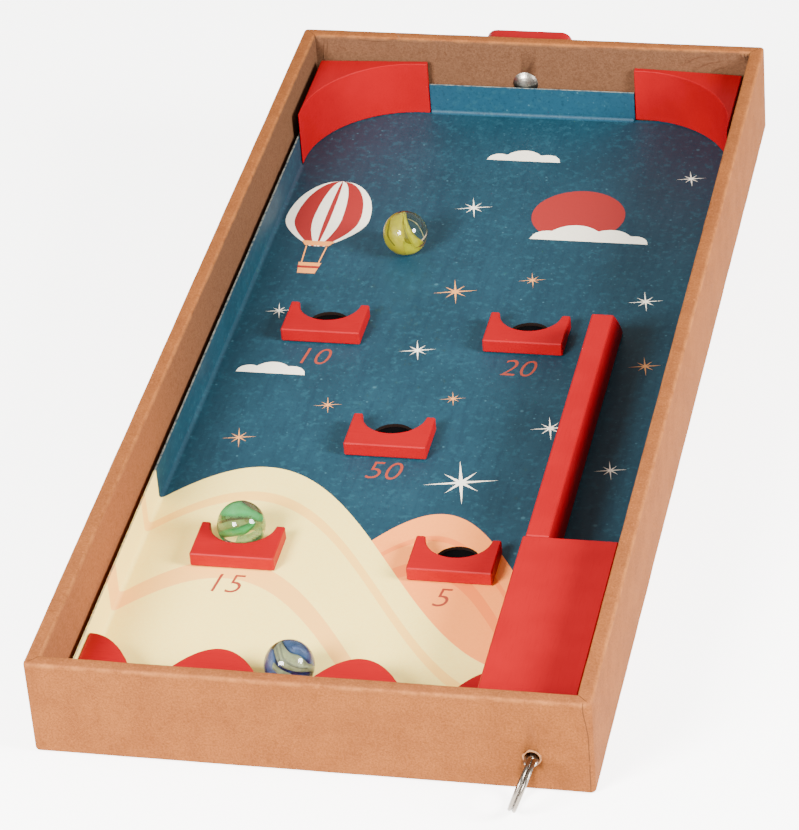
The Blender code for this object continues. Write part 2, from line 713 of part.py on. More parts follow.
def marble_places():
    """Green in its catch, blue in a valley of the bumper, yellow high on the board."""
    crests = bumper_crests()
    on_board = SEAT_Z + MARBLE_RADIUS
    valley = INSIDE_FRONT + SEAT_GAP + BUMPER_VALLEY_DEPTH + SEAT_GAP + MARBLE_RADIUS
    blue = Vector(((crests[1][0] + crests[2][0]) / 2, valley, on_board))
    across_share, along_share = YELLOW_MARBLE_SHARES
    yellow_x = -INSIDE_X + 2 * INSIDE_X * across_share
    yellow_y = INSIDE_FRONT + (INSIDE_BACK - INSIDE_FRONT) * along_share
    return {
        "green_marble": (seated_marble(GREEN_MARBLE_CATCH), GLASS_GREEN),
        "blue_marble": (blue, GLASS_BLUE),
        "yellow_marble": (Vector((yellow_x, yellow_y, on_board)), GLASS_YELLOW),
    }


def build_marbles(case):
    for name, (middle, look) in marble_places().items():
        shape = bmesh.new()
        rows = MARBLE_SIDES // 2
        place = Matrix.Translation(middle)
        bmesh.ops.create_uvsphere(
            shape, u_segments=MARBLE_SIDES, v_segments=rows, radius=MARBLE_RADIUS, matrix=place
        )
        marble = add_piece(name, shape, look, case, middle)
        marble.data.shade_smooth()


def stand_on_table(case):
    """Tip the tray onto its foot, then bring the middle of its footprint to the origin."""
    case.rotation_euler = (TILT, 0, 0)
    bpy.context.view_layer.update()
    graph = bpy.context.evaluated_depsgraph_get()
    reach = []
    for piece in case.children:
        if piece.hide_render:
            continue
        solid = piece.evaluated_get(graph)
        mesh = solid.to_mesh()
        reach += [(solid.matrix_world @ vertex.co).y for vertex in mesh.vertices]
        solid.to_mesh_clear()
    case.location.y = -(min(reach) + max(reach)) / 2
    bpy.context.view_layer.update()


def main():
    clear_scene()
    case = bpy.data.objects.new("case_frame", None)
    bpy.context.collection.objects.link(case)
    build_case(case)
    build_printed_board(case)
    build_catches(case)
    build_deflectors(case)
    build_bumper(case)
    build_divider(case)
    build_launcher(case)
    build_plunger(case)
    build_ring(case)
    build_foot(case)
    build_marbles(case)
    stand_on_table(case)


main()
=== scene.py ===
import math

import bmesh
import bpy
from mathutils import Matrix, Vector, noise


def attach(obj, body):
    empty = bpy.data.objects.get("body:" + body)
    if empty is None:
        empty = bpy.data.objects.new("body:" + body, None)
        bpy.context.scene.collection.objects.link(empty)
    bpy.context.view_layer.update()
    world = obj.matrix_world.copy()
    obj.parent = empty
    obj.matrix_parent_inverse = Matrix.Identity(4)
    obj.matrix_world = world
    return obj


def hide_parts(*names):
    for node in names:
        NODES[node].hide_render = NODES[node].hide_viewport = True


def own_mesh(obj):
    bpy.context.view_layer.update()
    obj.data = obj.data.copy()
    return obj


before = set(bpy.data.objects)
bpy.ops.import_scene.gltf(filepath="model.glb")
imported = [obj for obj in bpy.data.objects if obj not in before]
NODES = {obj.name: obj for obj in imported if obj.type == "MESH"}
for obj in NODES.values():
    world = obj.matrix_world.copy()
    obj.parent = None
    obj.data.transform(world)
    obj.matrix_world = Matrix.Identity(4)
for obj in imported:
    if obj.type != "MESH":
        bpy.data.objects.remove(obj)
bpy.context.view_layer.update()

# The tray's own frame: flat, in millimetres, front bottom edge on y = 0, z = 0
MM = 0.001
BACK_RISE = 33.9
BACK_REACH = 393.4
TILT = math.atan2(BACK_RISE, BACK_REACH)
SHIFT = -191.046
CASE = (
    Matrix.Translation((0, SHIFT * MM, 0))
    @ Matrix.Rotation(TILT, 4, "X")
    @ Matrix.Diagonal((MM, MM, MM, 1))
)
CASE_TURN = Matrix.Rotation(TILT, 3, "X")

WIDTH = 175.0
LENGTH = 392.0
HEIGHT = 34.0
WALL = 5.0
PLAY_Z = 4.0
EYE = Vector((68.7, -1.7, 12.3))
HOLE = 2.5
BOLT_HOLE = 2.3
PIVOT = Vector((-2.5, 392.0, 16.6))
MARBLE = 8.0
GREEN = Vector((-46.695, 108.13, 10.7))
BLUE = Vector((-13.95, 35.8, 12.3))
YELLOW = Vector((-28.38, 285.77, 12.3))
CORNER_ROUND = 1.7
RIM_ROUND = 1.0
TRAY_STEP = 6
PRINT_LAYER = 0.02


def rgb(red, green, blue):
    """A colour given as it looks on a screen, 0 to 255, as the shaders want it."""
    out = []
    for part in (red, green, blue):
        part /= 255
        out.append(part / 12.92 if part <= 0.04045 else ((part + 0.055) / 1.055) ** 2.4)
    return (*out, 1.0)


# The photograph's camera, in the tray's frame
PHOTO_WIDTH = 799
FOCAL_PIXELS = 4139.6
CAMERA = Vector((276.8, -936.8, 796.6))
azimuth = math.radians(-14.36)
elevation = math.radians(34.40)
roll = math.radians(-4.84)
flat_reach = math.cos(elevation)
forward = Vector((flat_reach * math.sin(azimuth), flat_reach * math.cos(azimuth), -math.sin(elevation)))
level = Vector((math.cos(azimuth), -math.sin(azimuth), 0))
raised = level.cross(forward)
right = math.cos(roll) * level + math.sin(roll) * raised
upward = math.cos(roll) * raised - math.sin(roll) * level
camera_data = bpy.data.cameras.new("photo_camera")
camera_data.sensor_fit = "HORIZONTAL"
camera_data.sensor_width = 36
camera_data.lens = FOCAL_PIXELS * camera_data.sensor_width / PHOTO_WIDTH
camera_data.clip_end = 20
camera = bpy.data.objects.new("photo_camera", camera_data)
bpy.context.scene.collection.objects.link(camera)
camera_turn = CASE_TURN @ Matrix((right, upward, -forward)).transposed()
camera.matrix_world = Matrix.Translation(CASE @ CAMERA) @ camera_turn.to_4x4()
bpy.context.scene.camera = camera


# Shader building


class Look:
    """A material whose nodes are made a line at a time, in the tray's own frame."""

    def __init__(self, name, **shader):
        self.material = bpy.data.materials.new(name)
        self.material.use_nodes = True
        self.tree = self.material.node_tree
        self.shader = self.tree.nodes["Principled BSDF"]
        for key, value in shader.items():
            socket = next(s for s in self.shader.inputs if s.name.lower() == key.replace("_", " "))
            socket.default_value = value

    def node(self, kind, inputs=(), **settings):
        item = self.tree.nodes.new("ShaderNode" + kind)
        for key, value in settings.items():
            setattr(item, key, value)
        for key, value in dict(inputs).items():
            if isinstance(value, bpy.types.NodeSocket):
                self.tree.links.new(value, item.inputs[key])
            else:
                item.inputs[key].default_value = value
        return item

    def place(self):
        """The point in the tray's own frame, in millimetres."""
        here = self.node("TexCoord").outputs["Object"]
        back = Matrix.Rotation(-TILT, 3, "X")
        shift = -(back @ Vector((0, SHIFT, 0)))
        inputs = {"Vector": here, "Scale": (1 / MM,) * 3, "Rotation": (-TILT, 0, 0), "Location": shift}
        return self.node("Mapping", inputs).outputs[0]

    def stretched(self, place, scale):
        return self.node("Mapping", {"Vector": place, "Scale": scale}).outputs[0]

    def noise(self, place, scale, detail=3.0, roughness=0.55):
        inputs = {"Vector": place, "Scale": scale, "Detail": detail, "Roughness": roughness}
        return self.node("TexNoise", inputs).outputs["Fac"]

    def math(self, operation, first, second=0.0, third=0.0, clamp=False):
        inputs = {0: first, 1: second, 2: third}
        return self.node("Math", inputs, operation=operation, use_clamp=clamp).outputs[0]

    def ramp(self, value, low, high):
        """0 below low and 1 above high, smooth between."""
        inputs = {"Value": value, "From Min": low, "From Max": high}
        return self.node("MapRange", inputs, interpolation_type="SMOOTHSTEP").outputs[0]

    def mix(self, share, first, second, blend="MIX"):
        inputs = {0: share, 6: first, 7: second}
        return self.node("Mix", inputs, data_type="RGBA", blend_type=blend).outputs[2]

    def colour(self, value):
        self.tree.links.new(value, self.shader.inputs["Base Color"])

    def roughness(self, value):
        self.tree.links.new(value, self.shader.inputs["Roughness"])

    def bump(self, height, strength, distance):
        inputs = {"Height": height, "Strength": strength, "Distance": distance * MM}
        self.tree.links.new(self.node("Bump", inputs).outputs[0], self.shader.inputs["Normal"])


def kraft_look():
    """Wrapping paper, with painted shade: the outer sides are darker than the rim top, and the inner faces are
    browner, duller and darker towards the back.
    """
    look = Look("kraft_paper", roughness=0.9, specular_ior_level=0.04)
    place = look.place()
    across, along, up = look.node("SeparateXYZ", {0: place}).outputs
    cloud = look.noise(place, 0.09, 3)
    grain = look.noise(place, 1.5, 4, 0.7)
    mottle = look.noise(place, 0.42, 3, 0.6)
    fibre = look.noise(look.stretched(place, (0.5, 0.5, 1.6)), 2.2, 3, 0.7)

    from_side = look.math("SUBTRACT", WIDTH / 2, look.math("ABSOLUTE", across))
    from_front = look.math("MINIMUM", along, look.math("SUBTRACT", LENGTH, along))
    from_edge = look.math("MINIMUM", from_side, from_front)
    below_rim = look.math("SUBTRACT", 1.0, look.ramp(up, 33.2, 33.8))
    # Painted shade: the inner faces below the rim are duller than the outside and darken from front to back.
    inside_faces = look.math("MULTIPLY", look.ramp(from_edge, WALL - 0.6, WALL - 0.1), below_rim)
    outside = look.math("MULTIPLY", look.math("SUBTRACT", 1.0, look.ramp(from_edge, 0.3, 1.2)), below_rim)
    far = look.ramp(along, 60, 250)

    rim_tone = look.mix(look.ramp(cloud, 0.35, 0.65), rgb(131, 77, 42), rgb(140, 83, 44))
    # Painted shade: the outer sides take a darker copy of the rim's paper tone.
    outer_side_shade_tone = look.mix(look.ramp(cloud, 0.35, 0.65), rgb(111, 64, 31), rgb(118, 69, 33))
    inside_shade_tone = look.mix(far, rgb(136, 82, 50), rgb(100, 68, 48))
    base = look.mix(outside, rim_tone, outer_side_shade_tone)
    base = look.mix(inside_faces, base, inside_shade_tone)
    darker = look.mix(1.0, base, rgb(204, 200, 196), "MULTIPLY")
    paler = look.mix(1.0, base, rgb(255, 248, 236), "SOFT_LIGHT")
    base = look.mix(look.math("MULTIPLY", look.ramp(grain, 0.35, 0.68), 0.75), base, darker)
    base = look.mix(look.math("MULTIPLY", look.ramp(mottle, 0.5, 0.72), 0.45), base, darker)
    base = look.mix(look.math("MULTIPLY", look.ramp(fibre, 0.55, 0.72), 0.4), base, paler)
    fleck = look.ramp(look.noise(place, 0.8, 2, 0.5), 0.68, 0.74)
    base = look.mix(look.math("MULTIPLY", fleck, 0.4), base, rgb(72, 44, 26))

    on_rim = look.ramp(up, HEIGHT - 1.6, HEIGHT - 0.5)
    ridge = look.math("SUBTRACT", 1.0, look.ramp(from_edge, 0.5, 1.3))
    inner_ridge = look.ramp(from_edge, WALL - 1.2, WALL - 0.5)
    ridge = look.math("MULTIPLY", look.math("MAXIMUM", ridge, inner_ridge), on_rim)
    # Painted highlight: pale, broken lines along the rounded edges of the rim.
    rim_edge_highlight = look.math("MULTIPLY", ridge, look.ramp(look.noise(place, 0.22, 3), 0.3, 0.65))
    base = look.mix(look.math("MULTIPLY", rim_edge_highlight, 0.28), base, rgb(172, 112, 60))
    # Painted shade: a dark line along the foot of the outer sides, where they meet the table.
    bottom_edge_shade = look.math("MULTIPLY", outside, look.math("SUBTRACT", 1.0, look.ramp(up, 0.25, 0.8)))
    base = look.mix(look.math("MULTIPLY", bottom_edge_shade, 0.7), base, rgb(64, 40, 24))

    uneven = look.math("MULTIPLY", look.math("SUBTRACT", look.noise(place, 0.35, 2), 0.5), 0.8)
    mitre = look.math("ABSOLUTE", look.math("SUBTRACT", look.math("ADD", from_side, uneven), from_front))
    farthest = look.math("MAXIMUM", from_side, from_front)
    corner = look.math("SUBTRACT", 1.0, look.ramp(farthest, WALL, WALL + 0.4))
    crease = look.math("MULTIPLY", look.math("SUBTRACT", 1.0, look.ramp(mitre, 0.1, 0.26)), corner)
    crease = look.math("MULTIPLY", crease, look.math("MULTIPLY", on_rim, look.ramp(from_edge, 1.2, 2.2)))

    seam_x = look.math("MULTIPLY_ADD", look.ramp(up, 20, HEIGHT), -1.3, WIDTH / 2 - 1.4)
    wander = look.math("SUBTRACT", look.noise(place, 0.25, 2), 0.5)
    seam_x = look.math("MULTIPLY_ADD", wander, 0.7, seam_x)
    seam_gap = look.math("ABSOLUTE", look.math("SUBTRACT", across, seam_x))
    seam = look.math("SUBTRACT", 1.0, look.ramp(seam_gap, 0.08, 0.24))
    seam = look.math("MULTIPLY", seam, look.math("SUBTRACT", 1.0, look.ramp(along, 0.6, 1.0)))
    broken = look.ramp(look.noise(place, 0.3, 2), 0.25, 0.45)
    line = look.math("MAXIMUM", crease, look.math("MULTIPLY", seam, broken))
    look.colour(look.mix(look.math("MULTIPLY", line, 0.8), base, rgb(62, 38, 24)))
    look.bump(look.math("SUBTRACT", look.math("ADD", grain, fibre), line), 0.35, 0.12)
    return look.material


def torn_paper_look():
    look = Look("torn_paper", roughness=0.9)
    grain = look.noise(look.place(), 3, 4, 0.7)
    look.colour(look.mix(look.ramp(grain, 0.35, 0.65), rgb(110, 68, 36), rgb(144, 96, 56)))
    look.bump(grain, 0.5, 0.2)
    return look.material


def paint_look(name, along):
    """Satin red paint over a wood grain that runs along X or Y."""
    look = Look(name, roughness=0.5, specular_ior_level=0.12)
    place = look.place()
    scale = (1.6, 0.12, 1.6) if along == "Y" else (0.12, 1.6, 1.6)
    grain = look.noise(look.stretched(place, scale), 1.2, 4, 0.6)
    cloud = look.noise(place, 0.06, 2)
    base = look.mix(look.ramp(cloud, 0.3, 0.7), rgb(140, 0, 10), rgb(147, 1, 12))
    base = look.mix(look.math("MULTIPLY", look.ramp(grain, 0.5, 0.75), 0.35), base, rgb(128, 2, 10))
    look.colour(base)
    look.roughness(look.math("MULTIPLY_ADD", grain, 0.2, 0.38))
    look.bump(grain, 0.2, 0.08)
    return look.material


def board_look():
    """The printed card: night blue over cream and peach dunes, white on the flanges' top edges, and near black
    on its cut edges below the face as painted shade.
    """
    look = Look("printed_card", roughness=0.5, specular_ior_level=0.2)
    place = look.place()
    across, along, up = look.node("SeparateXYZ", {0: place}).outputs

    streak = look.noise(look.stretched(place, (1.2, 0.12, 0.4)), 0.35, 4, 0.65)
    blot = look.noise(place, 0.035, 4, 0.6)
    sky = look.mix(look.ramp(blot, 0.3, 0.7), rgb(20, 50, 62), rgb(25, 58, 71))
    sky = look.mix(look.math("MULTIPLY", look.ramp(streak, 0.45, 0.7), 0.45), sky, rgb(16, 42, 56))
    side = look.ramp(look.math("ABSOLUTE", across), 15, 75)
    high = look.ramp(along, 265, 365)
    sky = look.mix(look.math("MULTIPLY", look.math("MULTIPLY", side, high), 0.8), sky, rgb(38, 44, 56))
    flange = look.ramp(along, 382.8, 383.2)
    sky = look.mix(look.math("MULTIPLY", flange, 0.6), sky, rgb(22, 66, 86))
    brush = look.noise(look.stretched(place, (1, 0.8, 1)), 0.9, 4, 0.7)
    sky = look.mix(look.math("MULTIPLY", look.ramp(brush, 0.5, 0.68), 0.55), sky, rgb(14, 40, 54))
    dabs = look.noise(place, 0.42, 3, 0.65)
    sky = look.mix(look.math("MULTIPLY", look.ramp(dabs, 0.52, 0.68), 0.5), sky, rgb(34, 74, 86))
    for scale, size, glow in ((0.5, 0.2, 0.3), (0.22, 0.13, 0.45), (0.09, 0.09, 0.4)):
        dots = look.node("TexVoronoi", {"Vector": place, "Scale": scale}, feature="F1")
        near = look.math("SUBTRACT", 1.0, look.ramp(dots.outputs["Distance"], size * 0.4, size))
        chosen = look.ramp(look.node("SeparateColor", {0: dots.outputs["Color"]}).outputs[0], 0.6, 0.75)
        share = look.math("MULTIPLY", look.math("MULTIPLY", near, chosen), glow)
        sky = look.mix(share, sky, rgb(70, 112, 122))

    def dune(middle, swing, crest, reach):
        turn = look.math("DIVIDE", look.math("SUBTRACT", across, crest), reach)
        return look.math("MULTIPLY_ADD", look.math("COSINE", turn), swing, middle)

    def below(edge, drop=0.0):
        gap = look.math("SUBTRACT", look.math("SUBTRACT", edge, drop), along)
        return look.ramp(gap, -0.1, 0.1)

    def band(edge, near, far):
        return look.math("SUBTRACT", below(edge, near), below(edge, far))

    paper = look.noise(place, 1.4, 4, 0.7)
    peach_edge = dune(96, 34, 16, 20)
    cream_edge = dune(100, 50, -48, 33)
    peach = look.mix(look.ramp(paper, 0.3, 0.75), rgb(250, 148, 68), rgb(246, 140, 62))
    peach = look.mix(look.math("MULTIPLY", band(peach_edge, 12, 15), 0.8), peach, rgb(236, 116, 46))
    peach = look.mix(look.math("MULTIPLY", band(peach_edge, 26, 33), 0.8), peach, rgb(236, 116, 46))
    cream = look.mix(look.ramp(paper, 0.3, 0.75), rgb(255, 230, 132), rgb(255, 222, 116))
    cream = look.mix(look.math("MULTIPLY", band(cream_edge, 14, 19), 0.7), cream, rgb(255, 186, 80))
    cream = look.mix(look.math("MULTIPLY", band(cream_edge, 52, 62), 0.7), cream, rgb(250, 166, 80))
    print_colour = look.mix(below(peach_edge), sky, peach)
    print_colour = look.mix(below(cream_edge), print_colour, cream)

    top = look.ramp(up, 15.93, 15.97)
    pulp = look.math("MULTIPLY", top, look.ramp(look.noise(place, 0.5, 3), 0.3, 0.6))
    card = look.mix(look.math("MULTIPLY", pulp, 0.7), print_colour, rgb(150, 150, 136))
    # Painted shade: the card's cut edges below its printed face, round the catch holes, are near black.
    cut = look.math("SUBTRACT", 1.0, look.ramp(up, PLAY_Z - 0.07, PLAY_Z - 0.03))
    look.colour(look.mix(cut, card, rgb(26, 16, 12)))
    look.roughness(look.math("MULTIPLY_ADD", streak, 0.15, 0.42))
    look.bump(paper, 0.1, 0.05)
    return look.material


def print_look(name, colour):
    """Flat ink with a little paper grain."""
    look = Look(name, roughness=0.5)
    grain = look.noise(look.place(), 1.8, 4, 0.7)
    darker = tuple(part * 0.8 for part in colour[:3]) + (1.0,)
    look.colour(look.mix(look.math("MULTIPLY", look.ramp(grain, 0.45, 0.75), 0.6), colour, darker))
    return look.material


def plain_look(name, colour, roughness, metallic=0.0, scale=1.0, depth=0.03, vary=0.12, shine=0.5):
    """Metal or card of one tone, with a fine grain in its colour, roughness and surface."""
    look = Look(name, roughness=roughness, metallic=metallic, specular_ior_level=shine)
    grain = look.noise(look.place(), scale, 4, 0.65)
    darker = tuple(part * (1 - vary * 2) for part in colour[:3]) + (1.0,)
    look.colour(look.mix(look.ramp(grain, 0.3, 0.75), colour, darker))
    look.roughness(look.math("MULTIPLY_ADD", grain, 0.15, roughness - 0.06))
    look.bump(grain, 0.15, depth)
    return look.material


def wood_look():
    look = Look("turned_beech", roughness=0.6)
    place = look.place()
    grain = look.noise(look.stretched(place, (2.2, 0.15, 2.2)), 1.0, 5, 0.6)
    pore = look.noise(look.stretched(place, (5, 0.4, 5)), 1.0, 2)
    base = look.mix(look.ramp(grain, 0.3, 0.7), rgb(150, 106, 62), rgb(122, 82, 46))
    base = look.mix(look.math("MULTIPLY", look.ramp(pore, 0.62, 0.75), 0.5), base, rgb(84, 54, 32))
    look.colour(base)
    look.bump(grain, 0.2, 0.05)
    return look.material


def glass_look(name, tint):
    """Clear tinted glass, a little uneven."""
    look = Look(name, roughness=0.04, transmission_weight=1.0, ior=1.5)
    cloud = look.noise(look.place(), 0.35, 2)
    paler = tuple(1 - (1 - part) * 0.6 for part in tint[:3]) + (1.0,)
    look.colour(look.mix(look.ramp(cloud, 0.4, 0.6), tint, paler))
    return look.material


def ribbon_look(name, first, second, cover=1.0):
    """A band inside a marble, clouded between two tones; coloured glass, except where a blade is a painted
    reflection or highlight.
    """
    look = Look(name, roughness=0.3, alpha=cover)
    place = look.place()
    blend = look.noise(look.stretched(place, (0.5, 0.5, 0.5)), 1.1, 4, 0.6)
    look.colour(look.mix(look.ramp(blend, 0.35, 0.65), first, second))
    return look.material


# Piece building


def finish_piece(piece, body, slot, *stands_for):
    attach(piece, body)
    if stands_for:
        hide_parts(*stands_for)
    return piece


def mesh_piece(name, shape, looks, smooth_below=35):
    """A bmesh drawn in the tray's frame, in millimetres, as a piece in the row frame."""
    mesh = bpy.data.meshes.new(name)
    shape.to_mesh(mesh)
    shape.free()
    mesh.transform(CASE)
    for look in looks if isinstance(looks, (list, tuple)) else [looks]:
        mesh.materials.append(look)
    if smooth_below:
        mesh.shade_smooth()
        mesh.set_sharp_from_angle(angle=math.radians(smooth_below))
    piece = bpy.data.objects.new(name, mesh)
    bpy.context.scene.collection.objects.link(piece)
    return piece


def wire_piece(name, runs, look):
    """Round wires: each run is (points, radius, closed), drawn in the tray's frame."""
    curve = bpy.data.curves.new(name, "CURVE")
    curve.dimensions = "3D"
    curve.bevel_depth = MM
    curve.bevel_resolution = 4
    curve.use_fill_caps = True
    for points, radius, closed in runs:
        spline = curve.splines.new("POLY")
        spline.points.add(len(points) - 1)
        spline.use_cyclic_u = closed
        spline.use_smooth = True
        for knot, point in zip(spline.points, points):
            knot.co = (*(CASE @ point), 1)
            knot.radius = radius
    curve.materials.append(look)
    piece = bpy.data.objects.new(name, curve)
    bpy.context.scene.collection.objects.link(piece)
    return piece


def meshed(piece):
    """The same piece as a mesh."""
    name = piece.name
    bpy.context.view_layer.update()
    mesh = bpy.data.meshes.new_from_object(piece.evaluated_get(bpy.context.evaluated_depsgraph_get()))
    bpy.data.objects.remove(piece)
    solid = bpy.data.objects.new(name, mesh)
    bpy.context.scene.collection.objects.link(solid)
    return solid


def dress(names, look, soften=0.0):
    """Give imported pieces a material, and round their edges a little."""
    for name in names:
        piece = NODES[name]
        piece.data.materials.clear()
        piece.data.materials.append(look)
        if soften:
            weld = piece.modifiers.new("weld", "WELD")
            weld.merge_threshold = 0.00001
            bevel = piece.modifiers.new("soft_edges", "BEVEL")
            bevel.width = soften * MM
            bevel.segments = 3
            bevel.limit_method = "ANGLE"
            bevel.angle_limit = math.radians(25)
            piece.data.shade_smooth()
            piece.modifiers.new("even_shading", "WEIGHTED_NORMAL")


# The wrapped tray


def tray_walls(half):
    """The square-edged frame of walls, cut across at even steps so that it can be made uneven."""
    shape = bmesh.new()
    loops = []
    for inset, height in ((0, 0), (0, HEIGHT), (WALL, HEIGHT), (WALL, 0)):
        low_x, high_x = -half + inset, half - inset
        low_y, high_y = inset, LENGTH - inset
        corners = ((low_x, low_y), (high_x, low_y), (high_x, high_y), (low_x, high_y))
        loops.append([shape.verts.new((x, y, height)) for x, y in corners])
    for near, far in zip(loops, loops[1:] + loops[:1]):
        for index in range(4):
            after = (index + 1) % 4
            shape.faces.new((near[index], near[after], far[after], far[index]))
    bmesh.ops.recalc_face_normals(shape, faces=shape.faces)
    for axis, reach in ((0, half), (1, LENGTH)):
        at = -reach + TRAY_STEP if axis == 0 else TRAY_STEP
        while at < reach - TRAY_STEP + 0.5:
            normal = Vector((1, 0, 0)) if axis == 0 else Vector((0, 1, 0))
            everything = shape.verts[:] + shape.edges[:] + shape.faces[:]
            bmesh.ops.bisect_plane(shape, geom=everything, plane_co=normal * at, plane_no=normal)
            at += TRAY_STEP
    return shape


def round_tray(shape, half):
    """Round the walls' upright corners, then their outer and inner rims."""
    outer_zone = WALL / 2 - 0.1

    def edges_between(is_near, is_far):
        return [
            edge for edge in shape.edges
            if len(edge.link_faces) == 2
            and any(is_near(a) and is_far(b) for a, b in (edge.link_faces, reversed(edge.link_faces)))
        ]

    def outer_side(face, facing):
        middle = face.calc_center_median()
        beyond = abs(middle.x) > half - outer_zone or min(middle.y, LENGTH - middle.y) < outer_zone
        return beyond and facing(face.normal)

    upright = edges_between(
        lambda face: outer_side(face, lambda normal: abs(normal.x) > 0.9),
        lambda face: outer_side(face, lambda normal: abs(normal.y) > 0.9),
    )
    bmesh.ops.bevel(shape, geom=upright, offset=CORNER_ROUND, segments=5, profile=0.5, affect="EDGES")
    level_outer = edges_between(
        lambda face: abs(face.normal.z) > 0.9,
        lambda face: outer_side(face, lambda normal: abs(normal.z) < 0.1),
    )
    bmesh.ops.bevel(shape, geom=level_outer, offset=RIM_ROUND, segments=4, profile=0.5, affect="EDGES")
    level_inner = edges_between(
        lambda face: face.normal.z > 0.9,
        lambda face: abs(face.normal.z) < 0.1 and not outer_side(face, lambda normal: True),
    )
    bmesh.ops.bevel(shape, geom=level_inner, offset=RIM_ROUND, segments=3, profile=0.5, affect="EDGES")


def hole_cutter(name, look, centre, radius, start, length):
    """A slightly ragged round plug along Y, for cutting a hole through a wall."""
    sides = 32
    plug = bmesh.new()
    rings = []
    for y in (start, start + length):
        ring = []
        for step in range(sides):
            angle = math.tau * step / sides
            x, z = math.cos(angle), math.sin(angle)
            reach = radius * (1 + 0.09 * noise.noise(Vector((x, z, 3)) * 1.7))
            ring.append(plug.verts.new((centre.x + reach * x, y, centre.z + reach * z)))
        rings.append(ring)
    plug.faces.new(rings[0])
    plug.faces.new(list(reversed(rings[1])))
    for step in range(sides):
        after = (step + 1) % sides
        plug.faces.new((rings[0][step], rings[1][step], rings[1][after], rings[0][after]))
    bmesh.ops.recalc_face_normals(plug, faces=plug.faces)
    return mesh_piece(name, plug, look)


def build_tray(kraft):
    """Four walls in one wrapped frame with rounded rims, corners and two holes."""
    half = WIDTH / 2
    shape = tray_walls(half)
    round_tray(shape, half)
    for vert in shape.verts:
        wave = noise.noise(vert.co * 0.06) * 0.1 + noise.noise(vert.co * 0.25) * 0.06
        if vert.co.z > 0.2:
            vert.co += vert.normal * min(0.0, wave - 0.05)
    tray = mesh_piece("kraft_tray", shape, kraft, 40)
    overrun = 2
    cut_length = WALL + 2 * overrun
    cutters = (
        hole_cutter("plunger_hole_cutter", kraft, EYE, HOLE, -overrun, cut_length),
        hole_cutter("bolt_hole_cutter", kraft, PIVOT, BOLT_HOLE, LENGTH - WALL - overrun, cut_length),
    )
    for cutter in cutters:
        boolean = tray.modifiers.new(cutter.name, "BOOLEAN")
        boolean.object = cutter
        boolean.operation = "DIFFERENCE"
        boolean.solver = "EXACT"
    bpy.context.view_layer.update()
    solid = bpy.data.meshes.new_from_object(tray.evaluated_get(bpy.context.evaluated_depsgraph_get()))
    tray.modifiers.clear()
    tray.data = solid
    for cutter in cutters:
        bpy.data.objects.remove(cutter)
    finish_piece(tray, "tray", "kraft_board", "front_wall", "back_wall", "left_wall", "right_wall")


def ridge(shape, points, normal, width, height, slot):
    """A narrow fold of paper standing up from a face, thin at both ends."""
    rows = []
    for index, point in enumerate(points):
        before = points[max(index - 1, 0)]
        after = points[min(index + 1, len(points) - 1)]
        side = (after - before).normalized().cross(normal) * width / 2
        swell = math.sin(math.pi * (index + 0.35) / (len(points) - 0.3)) * height
        row = (point - side - normal * 0.3, point - side, point - side * 0.4 + normal * swell * 0.85)
        row += (point + side * 0.3 + normal * swell, point + side, point + side - normal * 0.3)
        rows.append([shape.verts.new(place) for place in row])
    for near, far in zip(rows, rows[1:]):
        for index in range(6):
            after = (index + 1) % 6
            shape.faces.new((near[index], near[after], far[after], far[index])).material_index = slot
    for end in (rows[0], list(reversed(rows[-1]))):
        shape.faces.new(end).material_index = slot


def smooth_run(points, steps=6):
    """Points along a smooth curve through the given ones."""
    run = []
    for index in range(len(points) - 1):
        p0, p1 = points[max(index - 1, 0)], points[index]
        p2, p3 = points[index + 1], points[min(index + 2, len(points) - 1)]
        for step in range(steps):
            t = step / steps
            run.append(0.5 * (2 * p1 + (p2 - p0) * t + (2 * p0 - 5 * p1 + 4 * p2 - p3) * t * t
                              + (3 * p1 - p0 - 3 * p2 + p3) * t ** 3))
    return run + [points[-1]]


def build_folds(fold, torn):
    """Creases where the wrapping is tucked into the corners, and a nick in the back rim."""
    shape = bmesh.new()
    back = Vector((0, -1, 0))
    inner_y, inner_x, top = LENGTH - WALL, WIDTH / 2 - WALL, HEIGHT
    creases = (
        ((-78.7, 32.9), (-79.2, 29.5), (-79.9, 23), 0.5, 0.16),
        ((-77.4, 32.9), (-77.8, 29.5), (-78.7, 23), 0.4, 0.12),
        ((57, 27.5), (62, 31), (67.5, 32.2), 1.6, 0.3),
        ((61, 25.5), (66.5, 28.8), (72, 30), 1.5, 0.28),
        ((66, 23.5), (71, 27), (74, 27.6), 1.3, 0.25),
        ((79.4, 33.4), (80.4, 31.5), (82.2, 29.0), 1.2, 0.5),
        ((80.9, 33.4), (81.6, 31.8), (82.4, 30.6), 0.8, 0.5),
        ((-66, 33.2), (-60, 32.6), (-52, 33.2), 0.9, 0.15),
    )
    for *places, width, height in creases:
        run = [Vector((x, inner_y, z)) for x, z in places]
        ridge(shape, smooth_run(run), back, width, height, 0)
    side = Vector((1, 0, 0))
    for low, high, width, height in ((26, 33.4, 1.7, 0.5), (27.5, 32, 1.0, 0.35)):
        levels = (high, (low + high) / 2, low)
        run = [Vector((-inner_x, inner_y - 1.2 - 0.12 * (high - z), z)) for z in levels]
        ridge(shape, smooth_run(run), side, width, height, 0)
    nick = [Vector((-50.9, 389.2, top)), Vector((-50.2, 388.1, top)), Vector((-49.7, 387.25, top - 0.25))]
    ridge(shape, smooth_run(nick), Vector((0, 0, 1)), 0.5, 0.0, 1)
    bmesh.ops.recalc_face_normals(shape, faces=shape.faces)
    finish_piece(mesh_piece("paper_folds", shape, [fold, torn], 60), "tray", "kraft_board")


